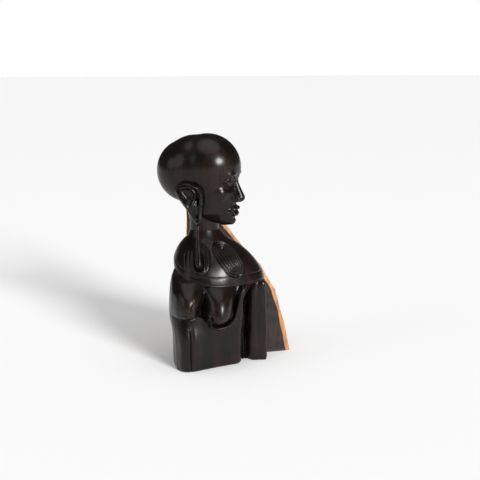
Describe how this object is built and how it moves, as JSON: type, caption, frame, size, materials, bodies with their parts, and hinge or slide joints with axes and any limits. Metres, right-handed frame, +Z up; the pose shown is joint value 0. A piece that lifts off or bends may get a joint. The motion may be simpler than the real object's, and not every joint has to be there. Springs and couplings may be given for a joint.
{
  "type": "carved wooden bust",
  "caption": "Bust of a woman carved from one split log: shaved head turned aside, stretched ear lobes with long drops, broad disc collar, arms at the sides, pale sapwood left on the back.",
  "frame": {"origin": "on the flat base, under the chest, at the point that the mount base names", "axes": "+Z up, -Y the way the chest faces, +X the figure's own left"},
  "size_m": [0.146, 0.102, 0.2497],
  "materials": {
    "heartwood": "very dark brown-black heartwood, hand polished and waxed",
    "sapwood": "orange-brown sapwood, smoothed and waxed"
  },
  "bodies": {
    "root": {"back_block": "heartwood", "collar": "heartwood", "head": "heartwood", "left_arm": "heartwood", "left_ear": "heartwood", "left_ear_drop": "heartwood", "neck": "heartwood", "right_arm": "heartwood", "right_ear": "heartwood", "right_ear_drop": "heartwood", "sapwood_back": "sapwood", "torso": "heartwood"}
  },
  "joints": []
}
